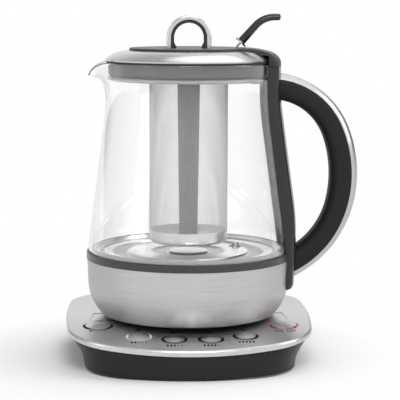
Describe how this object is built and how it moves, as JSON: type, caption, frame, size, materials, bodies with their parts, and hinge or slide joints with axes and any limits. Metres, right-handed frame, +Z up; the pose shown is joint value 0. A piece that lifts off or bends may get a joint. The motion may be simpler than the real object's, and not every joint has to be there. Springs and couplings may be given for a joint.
{
  "type": "electric tea maker",
  "caption": "Glass kettle with steel cup, lift-off lid, hanging infuser basket and loop handle, on a powered base with a curved steel control plate and press buttons.",
  "frame": {"origin": "middle of the footprint box on the surface that the base stands on; the kettle's axis is 17.75 mm towards -X from it", "axes": "+Z up, front and buttons towards -Y, spout towards -X, handle towards +X"},
  "size_m": [0.2265, 0.2004, 0.2666],
  "materials": {
    "housing_plastic": "fine moulded texture",
    "brushed_steel": "satin, brushed",
    "button_steel": "satin",
    "light_ring": "smoked translucent",
    "red_ring": "translucent red",
    "black_rubber": "matt",
    "screw_steel": "plated",
    "brass": "plain",
    "circuit_board": "solder mask",
    "switch_plastic": "plain",
    "ring_plastic": "satin",
    "spine_plastic": "gloss",
    "hub_plastic": "satin",
    "grey_plastic": "satin",
    "clear_silicone": "clear silicone",
    "clear_glass": "clear, polished",
    "soft_grip": "soft touch",
    "silver_trim": "satin silver",
    "chrome": "polished",
    "mesh_steel": "fine mesh and satin band"
  },
  "bodies": {
    "base": {"lower_housing": "housing_plastic", "base_cover": "housing_plastic", "rubber_feet": "black_rubber", "base_screws": "screw_steel", "top_plate": "brushed_steel", "cord_gland": "black_rubber", "dock_socket": "housing_plastic", "dock_contacts": "brass", "control_board": "circuit_board", "button_switches": "switch_plastic", "heat_bezels": "light_ring", "power_bezel": "red_ring"},
    "connector": {"kettle_socket": "housing_plastic"},
    "kettle": {"steel_cup": "brushed_steel", "kettle_foot": "housing_plastic", "joint_ring": "ring_plastic", "glass_seal": "clear_silicone", "glass_vessel": "clear_glass", "heater_plate": "brushed_steel", "heating_element": "screw_steel", "temperature_sensor": "screw_steel", "spine": "spine_plastic", "handle_grip": "soft_grip", "handle_trim": "silver_trim"},
    "lid": {"lid_shell": "brushed_steel", "lid_hub": "hub_plastic", "lid_plug": "grey_plastic", "seat_seal": "black_rubber", "lid_gasket": "clear_silicone", "lid_clip": "brushed_steel", "lid_loop": "chrome", "loop_liner": "spine_plastic", "loop_screws": "screw_steel", "lever_pin": "screw_steel", "infuser_post": "grey_plastic"},
    "lever": {"lever_rod": "chrome", "lever_grip": "spine_plastic"},
    "basket": {"basket_mesh": "mesh_steel", "basket_cup": "mesh_steel", "basket_collar": "mesh_steel"},
    "heat_button_1_body": {"heat_button_1": "button_steel"},
    "heat_button_2_body": {"heat_button_2": "button_steel"},
    "heat_button_3_body": {"heat_button_3": "button_steel"},
    "heat_button_4_body": {"heat_button_4": "button_steel"},
    "heat_button_5_body": {"heat_button_5": "button_steel"},
    "power_button_body": {"power_button": "button_steel"}
  },
  "joints": [
    {"name": "kettle_lift", "type": "slide", "parent": "base", "child": "connector", "axis": [0, 0, 1], "range_m": [0, 0.1]},
    {"name": "kettle_turn", "type": "hinge", "parent": "connector", "child": "kettle", "pos_m": [-0.01775, -0.00175, 0.045], "axis": [0, 0, 1], "continuous": true},
    {"name": "lid_lift", "type": "slide", "parent": "kettle", "child": "lid", "axis": [0, 0, 1], "range_m": [0, 0.16]},
    {"name": "lever_raise", "type": "hinge", "parent": "lid", "child": "lever", "pos_m": [0.01525, -0.00175, 0.237], "axis": [0, -1, 0], "range_deg": [0, 40]},
    {"name": "basket_twist", "type": "hinge", "parent": "lid", "child": "basket", "pos_m": [-0.01775, -0.00175, 0.2134], "axis": [0, 0, 1], "range_deg": [0, 30]},
    {"name": "heat_button_1_press", "type": "slide", "parent": "base", "child": "heat_button_1_body", "axis": [0, 0.075, -0.9972], "range_m": [0, 0.0015], "stiffness_N_per_m": 400},
    {"name": "heat_button_2_press", "type": "slide", "parent": "base", "child": "heat_button_2_body", "axis": [0, 0.1193, -0.9929], "range_m": [0, 0.0015], "stiffness_N_per_m": 400},
    {"name": "heat_button_3_press", "type": "slide", "parent": "base", "child": "heat_button_3_body", "axis": [0, 0.1307, -0.9914], "range_m": [0, 0.0015], "stiffness_N_per_m": 400},
    {"name": "heat_button_4_press", "type": "slide", "parent": "base", "child": "heat_button_4_body", "axis": [0, 0.1307, -0.9914], "range_m": [0, 0.0015], "stiffness_N_per_m": 400},
    {"name": "heat_button_5_press", "type": "slide", "parent": "base", "child": "heat_button_5_body", "axis": [0, 0.1193, -0.9929], "range_m": [0, 0.0015], "stiffness_N_per_m": 400},
    {"name": "power_button_press", "type": "slide", "parent": "base", "child": "power_button_body", "axis": [0, 0.075, -0.9972], "range_m": [0, 0.0015], "stiffness_N_per_m": 400}
  ]
}
